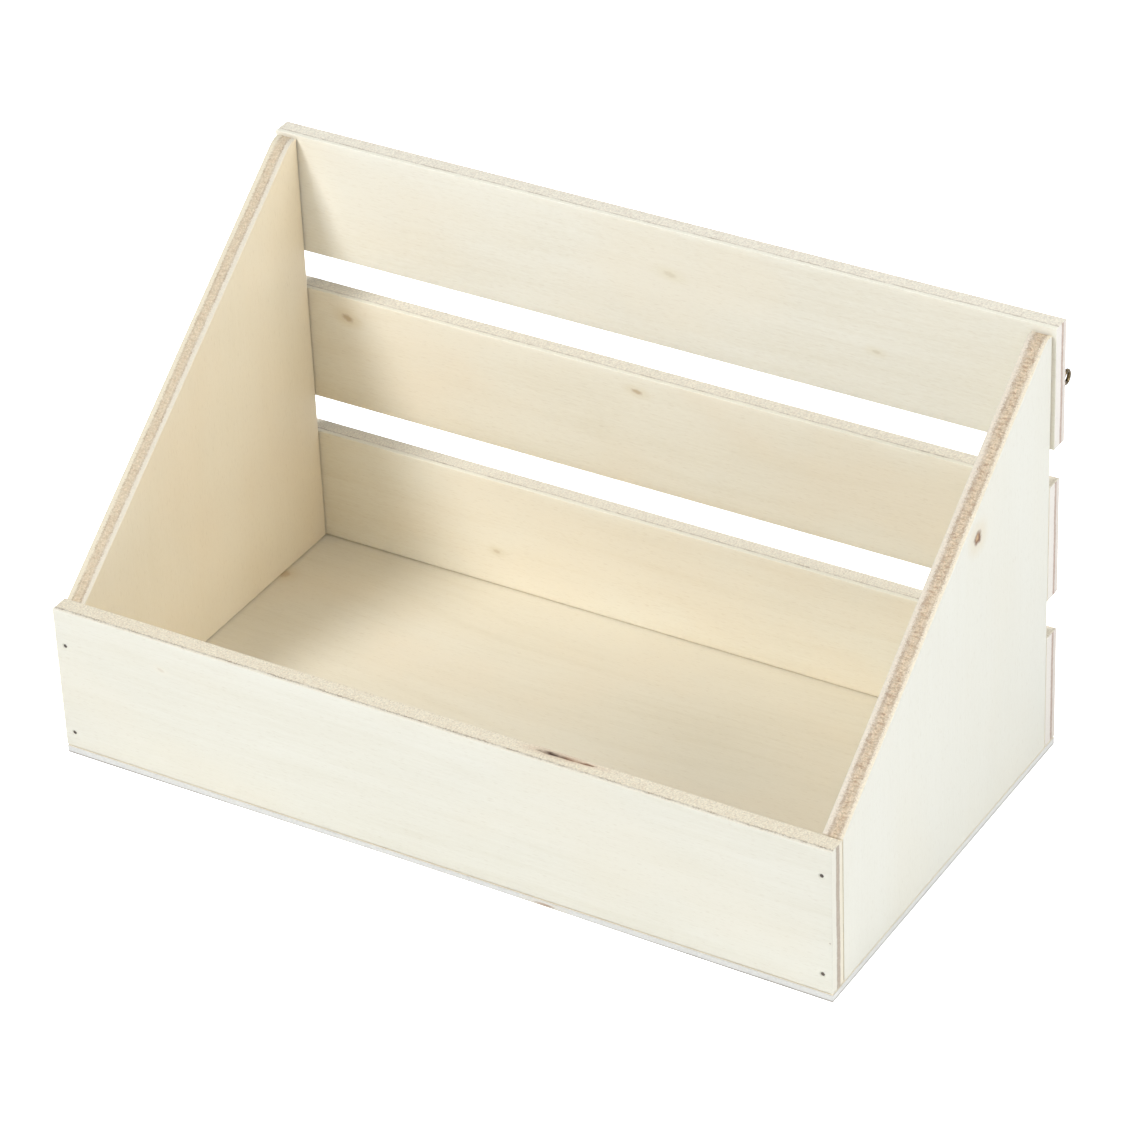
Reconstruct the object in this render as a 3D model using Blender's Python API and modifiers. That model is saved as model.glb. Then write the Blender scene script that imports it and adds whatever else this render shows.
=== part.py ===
"""Paint rack organizer: an open plywood bin with sloping sides and a slatted back.

Two sloping side panels stand on a thin base panel. A low front board is nailed across
their front edges, and three slats are nailed across their rear edges. Two screw eyes go
through the top slat into the side panels, so that the bin can hang from a cord.

Metres, +Z up. X runs along the front, Y from the front to the back. The origin is at the
centre of the bounding box's underside.
"""
import math

import bmesh
import bpy
from mathutils import Matrix, Vector

# Driving dimensions
WIDTH = 0.254                # outside length of the front board, the lower slats and the base
PLY = 0.00635                # quarter inch plywood of the sides, front board and slats
BASE_PLY = 0.0025            # thin plywood of the base panel
SIDE_DEPTH = 0.1243          # a side panel, from its front edge to its rear edge
FRONT_HEIGHT = 0.0481        # the front board, from its lower to its upper edge
SLAT_HEIGHT = 0.0381
SLAT_SPACING = 0.0127        # open gap between two slats
SLAT_NAMES = ("bottom", "middle", "top")
TOP_SLAT_EXTRA = 0.0012      # the top slat is this much wider than the other two
TOP_SLAT_OVERHANG = 0.0012   # past the side panels, at each end of the top slat
SIDE_DROPS = {"left": 0.0009, "right": 0.0023}    # from the top slat's upper edge to a side panel's top
SLOPE_DROPS = {"left": 0.0015, "right": 0.0}      # from the front board's upper edge to a slope's start
SIDE_LAND = 0.0030           # short level stretch at the top of a side panel
JOINT_GAP = 0.0003           # clearance between two pieces that touch

# Brads, of wire with a small head, driven a little below the surface
NAIL_SHANK_RADIUS = 0.0005
NAIL_HEAD_RADIUS = 0.0006
NAIL_HEAD_DEPTH = 0.0008
NAIL_POINT_LENGTH = 0.0015
NAIL_LENGTH = 0.019          # front board and slats
BASE_NAIL_LENGTH = 0.0125
NAIL_SINK = 0.0003           # from the surface down to the head
NAIL_SIDES = 8
NAIL_HOLE_RADIUS = NAIL_HEAD_RADIUS + JOINT_GAP

# The front board's nails were driven by hand, so the two ends differ: heights above the base
FRONT_NAIL_HEIGHTS = {"left": (0.0078, 0.0383), "right": (0.0086, 0.0417)}
SLAT_NAIL_INSET = 0.0080     # from a slat's upper and lower edges to its nails
TOP_NAIL_INSET = 0.0141      # top slat's upper nails, kept below the side panels' slope
BASE_SIDE_NAILS = (0.028, 0.068, 0.108)     # behind the side panels' front edges
BASE_FRONT_NAILS = (-0.080, 0.0, 0.080)     # along the front board
BASE_SLAT_NAILS = (-0.060, 0.060)           # along the bottom slat

# Screw eyes
EYE_WIRE_RADIUS = 0.0006
EYE_RING_RADIUS = 0.0025     # outside of the ring
EYE_REACH = 0.0120           # from the back of the slat to the far side of the ring
EYE_THREAD = 0.0125          # length in the wood
EYE_POINT = 0.0030           # tapered end of the thread
EYE_HEIGHT = 0.0143          # above the top slat's lower edge
EYE_OPENING = math.radians(50)              # part of the circle left open beside the neck
EYE_RING_STEPS = 20

# Worked out from the dimensions above
HEIGHT = BASE_PLY + 3 * SLAT_HEIGHT + 2 * SLAT_SPACING + TOP_SLAT_EXTRA
CASE_DEPTH = SIDE_DEPTH + 2 * PLY
FRONT_Y = -(CASE_DEPTH + EYE_REACH) / 2
BACK_Y = FRONT_Y + CASE_DEPTH
SIDE_FRONT_Y = FRONT_Y + PLY
SIDE_REAR_Y = BACK_Y - PLY
SIDE_X = (WIDTH - PLY) / 2   # middle of a side panel's thickness
FRONT_TOP = BASE_PLY + FRONT_HEIGHT
CUTTER_OVERRUN = 0.002

FRONT_COLOUR = (0.82, 0.77, 0.67)
SIDE_COLOUR = (0.84, 0.80, 0.70)
SLAT_COLOUR = (0.81, 0.73, 0.56)
BASE_COLOUR = (0.74, 0.67, 0.53)
NAIL_COLOUR = (0.16, 0.15, 0.14)
EYE_COLOUR = (0.30, 0.25, 0.17)


def clear_scene():
    """Remove every object, so that the script can run again in the same file."""
    for old in list(bpy.data.objects):
        bpy.data.objects.remove(old, do_unlink=True)


def make_material(name, colour, roughness, metallic):
    """A Principled BSDF material with one colour."""
    material = bpy.data.materials.new(name)
    material.use_nodes = True
    shader = material.node_tree.nodes["Principled BSDF"]
    shader.inputs["Base Color"].default_value = (*colour, 1.0)
    shader.inputs["Roughness"].default_value = roughness
    shader.inputs["Metallic"].default_value = metallic
    material.diffuse_color = (*colour, 1.0)
    return material


def new_collection(name):
    collection = bpy.data.collections.new(name)
    bpy.context.scene.collection.children.link(collection)
    return collection


def add_object(name, data, collection, material=None):
    """Link a new object and give it its own material."""
    item = bpy.data.objects.new(name, data)
    collection.objects.link(item)
    if material is not None:
        data.materials.clear()
        data.materials.append(material)
    return item


def plywood(name, colour):
    """Unfinished plywood, for one board."""
    return make_material(name + "_plywood", colour, 0.6, 0.0)


def board(name, low, high, collection, colour):
    """A sawn board between two corners, with its origin at its centre."""
    low, high = Vector(low), Vector(high)
    mesh = bpy.data.meshes.new(name)
    shape = bmesh.new()
    bmesh.ops.create_cube(shape, size=1.0)
    bmesh.ops.scale(shape, vec=high - low, verts=shape.verts)
    shape.to_mesh(mesh)
    shape.free()
    item = add_object(name, mesh, collection, plywood(name, colour))
    item.location = (low + high) / 2
    return item


def curve_to_mesh(item, collection):
    """Turn a curve object into a mesh object with welded caps."""
    graph = bpy.context.evaluated_depsgraph_get()
    graph.update()
    mesh = bpy.data.meshes.new_from_object(item.evaluated_get(graph))
    shape = bmesh.new()
    shape.from_mesh(mesh)
    bmesh.ops.remove_doubles(shape, verts=shape.verts, dist=0.00001)
    shape.to_mesh(mesh)
    shape.free()
    name, place = item.name, item.matrix_world.copy()
    materials = list(item.data.materials)
    bpy.data.objects.remove(item, do_unlink=True)
    solid = add_object(name, mesh, collection)
    mesh.materials.clear()
    for material in materials:
        mesh.materials.append(material)
    solid.name = name
    solid.matrix_world = place
    return solid


def side_panel(name, centre_x, top, slope_start, collection):
    """A side panel: a flat outline in the YZ plane, extruded to the plywood's thickness.

    Its front edge stops about level with the front board's upper edge. From there a straight
    slope climbs to a short level stretch at the rear edge.
    """
    base = BASE_PLY + JOINT_GAP
    front = SIDE_FRONT_Y + JOINT_GAP
    rear = SIDE_REAR_Y - JOINT_GAP
    outline = [
        (front, base),
        (rear, base),
        (rear, top),
        (rear - SIDE_LAND, top),
        (front, slope_start),
    ]
    curve = bpy.data.curves.new(name, "CURVE")
    curve.dimensions = "2D"
    curve.fill_mode = "BOTH"
    curve.extrude = PLY / 2
    spline = curve.splines.new("POLY")
    spline.points.add(len(outline) - 1)
    for point, (y, z) in zip(spline.points, outline):
        point.co = (y, z, 0.0, 1.0)
    spline.use_cyclic_u = True
    item = add_object(name, curve, collection, plywood(name, SIDE_COLOUR))
    # The curve's own X and Y become the object's Y and Z.
    turn = Matrix(((0, 0, 1), (1, 0, 0), (0, 1, 0))).to_4x4()
    item.matrix_world = Matrix.Translation((centre_x, 0, 0)) @ turn
    bpy.context.view_layer.update()
    return curve_to_mesh(item, collection)


def nail_mesh(name, length):
    """The profile of a brad, head at the top and point below, for a Screw modifier."""
    profile = [
        (0.0, 0.0),
        (NAIL_HEAD_RADIUS, 0.0),
        (NAIL_HEAD_RADIUS, -NAIL_HEAD_DEPTH),
        (NAIL_SHANK_RADIUS, -NAIL_HEAD_DEPTH - JOINT_GAP),
        (NAIL_SHANK_RADIUS, NAIL_POINT_LENGTH - length),
        (0.0, -length),
    ]
    mesh = bpy.data.meshes.new(name)
    shape = bmesh.new()
    points = [shape.verts.new((radius, 0.0, height)) for radius, height in profile]
    for start, end in zip(points, points[1:]):
        shape.edges.new((start, end))
    shape.to_mesh(mesh)
    shape.free()
    return mesh


def aim(direction):
    """The rotation that turns a nail's head from +Z to the given direction."""
    return Vector((0, 0, 1)).rotation_difference(Vector(direction)).to_matrix().to_4x4()


def cutter_cylinder(name, start, direction, length, radius, collection):
    """A wire-displayed cylinder that runs into the wood from just outside its surface."""
    mesh = bpy.data.meshes.new(name)
    shape = bmesh.new()
    bmesh.ops.create_cone(
        shape, cap_ends=True, segments=NAIL_SIDES, radius1=radius, radius2=radius,
        depth=length + CUTTER_OVERRUN,
    )
    middle = (CUTTER_OVERRUN - length) / 2
    bmesh.ops.translate(shape, vec=(0, 0, middle), verts=shape.verts)
    shape.to_mesh(mesh)
    shape.free()
    item = add_object(name, mesh, collection)
    item.matrix_world = Matrix.Translation(start) @ aim(direction)
    item.hide_render = True
    item.display_type = "WIRE"
    return item


def cut(pieces, cutter):
    """Subtract a cutter from each piece with an exact Boolean modifier."""
    for piece in pieces:
        modifier = piece.modifiers.new(cutter.name, "BOOLEAN")
        modifier.operation = "DIFFERENCE"
        modifier.solver = "EXACT"
        modifier.object = cutter


def drive_nail(name, mesh, length, surface, direction, pieces, parts, cutters, material):
    """Place one nail with its head just below a surface, and cut its hole in the pieces."""
    direction = Vector(direction)
    nail = bpy.data.objects.new(name, mesh)
    parts.objects.link(nail)
    if not mesh.materials:
        mesh.materials.append(material)
    nail.matrix_world = Matrix.Translation(Vector(surface) - direction * NAIL_SINK) @ aim(direction)
    turned = nail.modifiers.new("turned", "SCREW")
    turned.axis = "Z"
    turned.angle = math.tau
    turned.steps = NAIL_SIDES
    turned.render_steps = NAIL_SIDES
    turned.use_merge_vertices = True
    turned.merge_threshold = 0.00005
    hole = cutter_cylinder(
        name + "_hole", surface, direction, length + NAIL_SINK + JOINT_GAP,
        NAIL_HOLE_RADIUS, cutters,
    )
    cut(pieces, hole)
    return nail


def screw_eye(name, centre_x, height, pieces, parts, cutters):
    """A screw eye: one wire, from its point through the neck and round an upright ring."""
    ring_radius = EYE_RING_RADIUS - EYE_WIRE_RADIUS
    ring_y = EYE_REACH - EYE_RING_RADIUS
    curve = bpy.data.curves.new(name, "CURVE")
    curve.dimensions = "3D"
    curve.bevel_depth = EYE_WIRE_RADIUS
    curve.bevel_resolution = 2
    curve.use_fill_caps = True
    # Out along +Y, then round from the ring's near side, over the top and back below.
    path = [(-EYE_THREAD, 0.0, 0.2), (EYE_POINT - EYE_THREAD, 0.0, 1.0)]
    for step in range(EYE_RING_STEPS + 1):
        turn = (math.tau - EYE_OPENING) * step / EYE_RING_STEPS
        path.append((
            ring_y - ring_radius * math.cos(turn),
            ring_radius * math.sin(turn),
            1.0,
        ))
    spline = curve.splines.new("POLY")
    spline.points.add(len(path) - 1)
    for point, (y, z, thickness) in zip(spline.points, path):
        point.co = (0.0, y, z, 1.0)
        point.radius = thickness
    item = add_object(name, curve, parts, make_material(name + "_metal", EYE_COLOUR, 0.4, 1.0))
    item.location = (centre_x, BACK_Y, height)
    hole = cutter_cylinder(
        name + "_hole", (centre_x, BACK_Y, height), (0, 1, 0), EYE_THREAD + JOINT_GAP,
        EYE_WIRE_RADIUS + JOINT_GAP, cutters,
    )
    cut(pieces, hole)
    return item


def build():
    clear_scene()
    parts = new_collection("paint_rack_organizer")
    cutters = new_collection("cutters")
    nail_steel = make_material("nail_steel", NAIL_COLOUR, 0.45, 1.0)

    half = WIDTH / 2
    wood_base = BASE_PLY + JOINT_GAP
    base = board(
        "base_panel", (-half, FRONT_Y, 0.0), (half, BACK_Y, BASE_PLY), parts, BASE_COLOUR,
    )
    front = board(
        "front_board", (-half, FRONT_Y, wood_base), (half, SIDE_FRONT_Y, FRONT_TOP),
        parts, FRONT_COLOUR,
    )
    sides = {}
    for hand, sign in (("left", -1), ("right", 1)):
        sides[hand] = side_panel(
            f"{hand}_side_panel", sign * SIDE_X, HEIGHT - SIDE_DROPS[hand],
            FRONT_TOP - SLOPE_DROPS[hand], parts,
        )
    slats, slat_lows = {}, {}
    for index, name in enumerate(SLAT_NAMES):
        low = BASE_PLY + index * (SLAT_HEIGHT + SLAT_SPACING)
        high = HEIGHT if name == "top" else low + SLAT_HEIGHT
        seat = low + JOINT_GAP if index == 0 else low
        reach = half + TOP_SLAT_OVERHANG if name == "top" else half
        slats[name] = board(
            f"back_slat_{name}", (-reach, SIDE_REAR_Y, seat), (reach, BACK_Y, high),
            parts, SLAT_COLOUR,
        )
        slat_lows[name] = low

    long_nail = nail_mesh("brad", NAIL_LENGTH)
    short_nail = nail_mesh("base_brad", BASE_NAIL_LENGTH)
    for hand, sign in (("left", -1), ("right", 1)):
        for level, height in zip(("lower", "upper"), FRONT_NAIL_HEIGHTS[hand]):
            drive_nail(
                f"front_nail_{hand}_{level}", long_nail, NAIL_LENGTH,
                (sign * SIDE_X, FRONT_Y, height), (0, -1, 0),
                (front, sides[hand]), parts, cutters, nail_steel,
            )
        for name in SLAT_NAMES:
            low = slat_lows[name]
            upper_inset = TOP_NAIL_INSET if name == "top" else SLAT_NAIL_INSET
            heights = (low + SLAT_NAIL_INSET, low + SLAT_HEIGHT - upper_inset)
            for level, height in zip(("lower", "upper"), heights):
                drive_nail(
                    f"{name}_slat_nail_{hand}_{level}", long_nail, NAIL_LENGTH,
                    (sign * SIDE_X, BACK_Y, height), (0, 1, 0),
                    (slats[name], sides[hand]), parts, cutters, nail_steel,
                )
        for number, distance in enumerate(BASE_SIDE_NAILS, start=1):
            drive_nail(
                f"base_nail_{hand}_{number}", short_nail, BASE_NAIL_LENGTH,
                (sign * SIDE_X, SIDE_FRONT_Y + distance, 0.0), (0, 0, -1),
                (base, sides[hand]), parts, cutters, nail_steel,
            )
        screw_eye(
            f"screw_eye_{hand}", sign * SIDE_X, slat_lows["top"] + EYE_HEIGHT,
            (slats["top"], sides[hand]), parts, cutters,
        )
    for number, x in enumerate(BASE_FRONT_NAILS, start=1):
        drive_nail(
            f"base_nail_front_{number}", short_nail, BASE_NAIL_LENGTH,
            (x, FRONT_Y + PLY / 2, 0.0), (0, 0, -1), (base, front), parts, cutters, nail_steel,
        )
    for number, x in enumerate(BASE_SLAT_NAILS, start=1):
        drive_nail(
            f"base_nail_back_{number}", short_nail, BASE_NAIL_LENGTH,
            (x, BACK_Y - PLY / 2, 0.0), (0, 0, -1),
            (base, slats["bottom"]), parts, cutters, nail_steel,
        )


build()
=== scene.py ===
"""The looks of a plywood paint rack organizer: boards, brads, screw eyes, light and camera."""
import math

import bpy
import numpy as np
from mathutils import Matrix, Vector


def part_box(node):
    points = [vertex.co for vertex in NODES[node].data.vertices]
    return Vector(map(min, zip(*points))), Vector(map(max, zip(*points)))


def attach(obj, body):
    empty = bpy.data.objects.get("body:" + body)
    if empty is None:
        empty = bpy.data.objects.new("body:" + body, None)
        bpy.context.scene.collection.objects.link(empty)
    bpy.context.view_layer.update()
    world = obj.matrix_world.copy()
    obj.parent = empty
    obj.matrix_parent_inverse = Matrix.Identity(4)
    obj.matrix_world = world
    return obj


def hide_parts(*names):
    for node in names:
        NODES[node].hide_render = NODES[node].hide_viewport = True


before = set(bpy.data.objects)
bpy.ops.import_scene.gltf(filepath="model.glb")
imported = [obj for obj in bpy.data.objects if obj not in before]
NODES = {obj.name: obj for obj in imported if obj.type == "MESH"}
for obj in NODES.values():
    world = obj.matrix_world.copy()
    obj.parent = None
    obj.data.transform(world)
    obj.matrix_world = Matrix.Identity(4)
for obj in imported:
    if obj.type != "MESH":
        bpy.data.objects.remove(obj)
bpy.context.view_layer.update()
MM = 0.001

# Places and sizes that the boards share, in metres, worked out from the frame
FRONT_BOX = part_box("front_board")
BASE_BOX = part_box("base_panel")
SLAT_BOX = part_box("back_slat_top")
FRONT_FACE = FRONT_BOX[0].y          # the front board's outer face
SLAT_FACE = SLAT_BOX[0].y            # the slats' inner faces
REAR_FACE = SLAT_BOX[1].y            # the slats' outer faces
PLY = FRONT_BOX[1].y - FRONT_BOX[0].y
HALF_WIDTH = FRONT_BOX[1].x
SLOPE_DROPS = {"left": 1.5 * MM, "right": 0.0}   # from the front board's top to a slope's start
ARRIS = 0.30 * MM                    # rounding of a sawn and lightly sanded edge
NAIL_DENT = 0.85 * MM                # radius of the hollow round a brad's head
NAIL_DENT_DEPTH = 0.55 * MM


# ------------------------------------------------------------------ noise and grids

def wander(places, seed, pitch):
    """Smooth noise from -1 to 1 along a line.

    One random level stands at each multiple of the pitch, and between two of them the noise
    eases from one to the other by half a cosine.
    """
    levels = np.random.default_rng(seed).uniform(-1, 1, 4096)
    steps = np.asarray(places) / pitch + 1000.0
    whole = np.floor(steps).astype(int)
    ease = (1 - np.cos(math.pi * (steps - whole))) / 2
    return levels[whole % 4096] * (1 - ease) + levels[(whole + 1) % 4096] * ease


def grid_lines(low, high, spacing, close_spots=(), reach=1.5 * MM, close_spacing=0.3 * MM):
    """Where grid lines fall between two ends of a board.

    Even steps of about the given spacing, lines that crowd across the rounding at each end as
    r(1 - cos a), and close lines round each spot so that a small dent there has enough faces.
    """
    count = max(2, int(round((high - low - 2 * ARRIS) / spacing)))
    even = np.linspace(low + ARRIS, high - ARRIS, count + 1)
    crowd = ARRIS * (1 - np.cos(np.linspace(0, math.pi / 2, 4)))[:-1]
    lines = [even, low + crowd, high - crowd]
    for spot in close_spots:
        near = spot + np.arange(-reach, reach + close_spacing / 2, close_spacing)
        lines.append(near[(near > low + ARRIS) & (near < high - ARRIS)])
    lines = np.unique(np.concatenate(lines))
    apart = np.diff(lines) > 0.015 * MM
    return lines[np.concatenate(([True], apart))]


def block_skin(xs, ys, zs):
    """The skin of a block of grid lines.

    Returns the points' places, each with at least one coordinate at an end of its lines, the
    outward quads of the six faces, which share the points along their edges, and the axis that
    each quad faces along.
    """
    counts = (len(xs), len(ys), len(zs))
    quads, facing = [], []
    for axis in range(3):
        across, along = (axis + 1) % 3, (axis + 2) % 3
        u, v = np.meshgrid(np.arange(counts[across] - 1), np.arange(counts[along] - 1), indexing="ij")
        for end in (0, counts[axis] - 1):
            corners = []
            for du, dv in ((0, 0), (1, 0), (1, 1), (0, 1)):
                number = [None, None, None]
                number[axis] = np.full(u.shape, end)
                number[across] = u + du
                number[along] = v + dv
                corners.append(number[0] + counts[0] * (number[1] + counts[1] * number[2]))
            face = np.stack(corners, axis=-1).reshape(-1, 4)
            quads.append(face if end else face[:, ::-1])
            facing.append(np.full(len(face), axis))
    quads = np.concatenate(quads)
    used, quads = np.unique(quads, return_inverse=True)
    quads = quads.reshape(-1, 4)
    points = np.stack([
        xs[used % counts[0]], ys[used // counts[0] % counts[1]], zs[used // (counts[0] * counts[1])],
    ], axis=1)
    return points, quads, np.concatenate(facing)


def finished_mesh(name, points, quads, slots, materials, node):
    """A smooth mesh object from arrays, standing for a CAD node, with a material per quad."""
    mesh = bpy.data.meshes.new(name)
    mesh.vertices.add(len(points))
    mesh.vertices.foreach_set("co", np.ascontiguousarray(points, dtype=np.float32).ravel())
    mesh.loops.add(quads.size)
    mesh.loops.foreach_set("vertex_index", quads.astype(np.int32).ravel())
    mesh.polygons.add(len(quads))
    mesh.polygons.foreach_set("loop_start", np.arange(0, quads.size, 4, dtype=np.int32))
    for material in materials:
        mesh.materials.append(material)
    mesh.polygons.foreach_set("material_index", np.asarray(slots, dtype=np.int32))
    mesh.polygons.foreach_set("use_smooth", np.ones(len(quads), dtype=bool))
    mesh.update(calc_edges=True)
    mesh.validate()
    piece = bpy.data.objects.new(name, mesh)
    bpy.context.scene.collection.objects.link(piece)
    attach(piece, "root")
    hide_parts(node)
    return piece


# ------------------------------------------------------------------ boards

def hollow(points, faces_out, centre, radius, depth, axis):
    """How far each point sinks into a face round a spot.

    The hollow is round, depth times (1 - (d / r)^4) deep at a distance d from its centre inside
    the radius r, and nothing outside it. Only points whose outward direction is the face's sink.
    """
    flat = [a for a in range(3) if a != axis]
    distance = np.hypot(points[:, flat[0]] - centre[flat[0]], points[:, flat[1]] - centre[flat[1]])
    bowl = np.clip(1 - (distance / radius) ** 4, 0, 1)
    return depth * bowl * np.clip(faces_out, 0, 1)


def board(name, node, thick_axis, materials, dents=(), void=None, seed=0, bow=0.0,
          slope=None):
    """One plywood board as a closed surface.

    A block of grid lines fills the board's box. Each skin point is split into the nearest point
    of a core block that is smaller by the arris radius, and an outward offset from it. The core
    point takes the board's outline, the offset is made one arris radius long, and so every edge
    and corner comes out round. Then the sawn edges wander by a few hundredths of a millimetre,
    and dents and voids sink along the outward direction.
    """
    low, high = (np.array(corner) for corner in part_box(node))
    spots = [[], [], []]
    for centre, _, axis, _ in dents:
        for a in range(3):
            if a != axis:
                spots[a].append(centre[a])
    lines = []
    for axis in range(3):
        spacing = 0.6 * MM if axis == thick_axis else 2.0 * MM
        close = np.array(spots[axis])
        extra = ()
        if void is not None and axis == 0:
            extra = np.arange(void["from"], void["to"], 2 * MM)
        elif void is not None and axis == 1:
            extra = (void["centre"],)
        lines.append(grid_lines(low[axis], high[axis], spacing, np.concatenate((close, extra))))
    points, quads, facing = block_skin(*lines)
    core = np.clip(points, low + ARRIS, high - ARRIS)
    out = points - core
    outward = out / np.maximum(np.linalg.norm(out, axis=1, keepdims=True), 1e-12)
    if slope is not None:
        core, outward = side_slope(core, outward, low, high, slope)
    rim = 1 - np.abs(outward[:, thick_axis])
    run = points.sum(axis=1) - points[:, thick_axis]
    sink = 0.04 * MM * rim * (1 + wander(run, seed, 7 * MM)) / 2
    sink = sink + 0.03 * MM * rim * (1 + wander(run, seed + 1, 1.7 * MM)) / 2
    for centre, radius, axis, side in dents:
        sink = sink + hollow(points, outward[:, axis] * side, centre, radius, NAIL_DENT_DEPTH, axis)
    if void is not None:
        along = np.clip((points[:, 0] - void["from"]) / (void["to"] - void["from"]), 0, 1)
        width = void["width"] * np.sin(math.pi * along ** 0.6) ** 0.5
        gap = np.abs(points[:, 1] - void["centre"] - 0.1 * MM * wander(points[:, 0], seed + 2, 3 * MM))
        bowl = np.clip(1 - (gap / np.maximum(width, 1e-9)) ** 4, 0, 1) * (width > 1e-6)
        sink = sink + void["depth"] * bowl * np.clip(outward[:, 2], 0, 1)
    points = core + outward * (ARRIS - sink)[:, None]
    if bow:
        # The lower arris of the front edge lifts in the middle, as bow times cos^2 along it.
        lift = bow * np.cos(np.clip(points[:, 0] / (high[0] - low[0]), -0.5, 0.5) * math.pi) ** 2
        near_front = np.clip(1 - (points[:, 1] - low[1]) / (2.5 * MM), 0, 1) ** 2
        below = np.clip(1 - (points[:, 2] - low[2]) / (high[2] - low[2]), 0, 1)
        points[:, 2] += lift * near_front * below
    face_slot = np.where(facing == thick_axis, 0, 1)
    if thick_axis == 1 or thick_axis == 2:
        face_slot = np.where((facing == 0), 2, face_slot)
    return finished_mesh(name, points, quads, face_slot, materials, node)


def side_slope(core, outward, low, high, start):
    """The outline of a side panel, as a change to the points of a plain block.

    Each core point's height above the bottom is scaled so that the highest one reaches the
    slope at its depth, and the upward part of its outward direction turns square to the slope.
    """
    land = 3.0 * MM
    depth = core[:, 1]
    corner = high[1] - land
    rise = (high[2] - start) / (corner - low[1])
    tilt = np.clip((corner - depth) / (1.2 * MM), 0, 1)
    top = np.where(depth < corner, start + rise * (depth - low[1]), high[2]) - ARRIS
    scale = (top - low[2] - ARRIS) / (high[2] - low[2] - 2 * ARRIS)
    core = core.copy()
    core[:, 2] = low[2] + ARRIS + (core[:, 2] - low[2] - ARRIS) * scale
    up = np.clip(outward[:, 2], 0, None) * tilt
    outward = outward.copy()
    outward[:, 1] -= up * rise
    outward /= np.linalg.norm(outward, axis=1, keepdims=True)
    return core, outward


# ------------------------------------------------------------------ finishes

def tone(red, green, blue):
    """A colour as it looks, from 0 to 255, turned into the linear one that a shader takes."""
    seen = np.array([red, green, blue]) / 255.0
    linear = np.where(seen <= 0.04045, seen / 12.92, ((seen + 0.055) / 1.055) ** 2.4)
    return (*linear.tolist(), 1.0)


class Recipe:
    """A node tree being put together, with one short call for each kind of node."""

    def __init__(self, tree):
        self.tree = tree

    def add(self, kind, inputs=(), **settings):
        """One node. Its inputs are pairs of a socket's name or number and a value or an output."""
        node = self.tree.nodes.new(kind)
        for key, value in settings.items():
            setattr(node, key, value)
        for socket, value in inputs:
            if isinstance(value, bpy.types.NodeSocket):
                self.tree.links.new(value, node.inputs[socket])
            elif value is not None:
                node.inputs[socket].default_value = value
        return node

    def sum(self, operation, first, second=None, third=None, clamp=False):
        pairs = [pair for pair in enumerate((first, second, third)) if pair[1] is not None]
        return self.add("ShaderNodeMath", pairs, operation=operation, use_clamp=clamp).outputs[0]

    def spread(self, vector, scale, offset=(0, 0, 0), turn=(0, 0, 0)):
        """A vector scaled along each axis, after a turn, so that a noise on it is stretched."""
        pairs = (("Vector", vector), ("Location", offset), ("Rotation", turn), ("Scale", scale))
        return self.add("ShaderNodeMapping", pairs).outputs[0]

    def noise(self, vector, detail=2.0, roughness=0.5, distortion=0.0):
        pairs = (("Vector", vector), ("Scale", 1.0), ("Detail", detail), ("Roughness", roughness),
                 ("Distortion", distortion))
        return self.add("ShaderNodeTexNoise", pairs).outputs[0]

    def ease(self, value, start, end, low=0.0, high=1.0):
        """A smooth step from low to high while the value goes from start to end."""
        pairs = ((0, value), (1, start), (2, end), (3, low), (4, high))
        return self.add("ShaderNodeMapRange", pairs, interpolation_type="SMOOTHSTEP").outputs[0]

    def mix(self, share, first, second, blend="MIX"):
        node = self.add("ShaderNodeMix", ((0, share), (6, first), (7, second)), data_type="RGBA",
                        blend_type=blend, clamp_factor=True)
        return node.outputs[2]

    def parts(self, vector):
        return self.add("ShaderNodeSeparateXYZ", ((0, vector),)).outputs

    def group(self, tree, **inputs):
        pairs = [(key.replace("_", " "), value) for key, value in inputs.items()]
        node = self.add("ShaderNodeGroup")
        node.node_tree = tree
        for socket, value in pairs:
            if isinstance(value, bpy.types.NodeSocket):
                self.tree.links.new(value, node.inputs[socket])
            else:
                node.inputs[socket].default_value = value
        return node.outputs


def new_group(name, inputs, outputs):
    """An empty node group with named sockets. Returns its recipe, its inputs and its output node."""
    tree = bpy.data.node_groups.new(name, "ShaderNodeTree")
    for label, kind, value in inputs:
        socket = tree.interface.new_socket(label, in_out="INPUT", socket_type="NodeSocket" + kind)
        if value is not None:
            socket.default_value = value
    for label, kind in outputs:
        tree.interface.new_socket(label, in_out="OUTPUT", socket_type="NodeSocket" + kind)
    recipe = Recipe(tree)
    return recipe, recipe.add("NodeGroupInput").outputs, recipe.add("NodeGroupOutput")


def deliver(recipe, target, **values):
    for label, value in values.items():
        recipe.tree.links.new(value, target.inputs[label])


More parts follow.
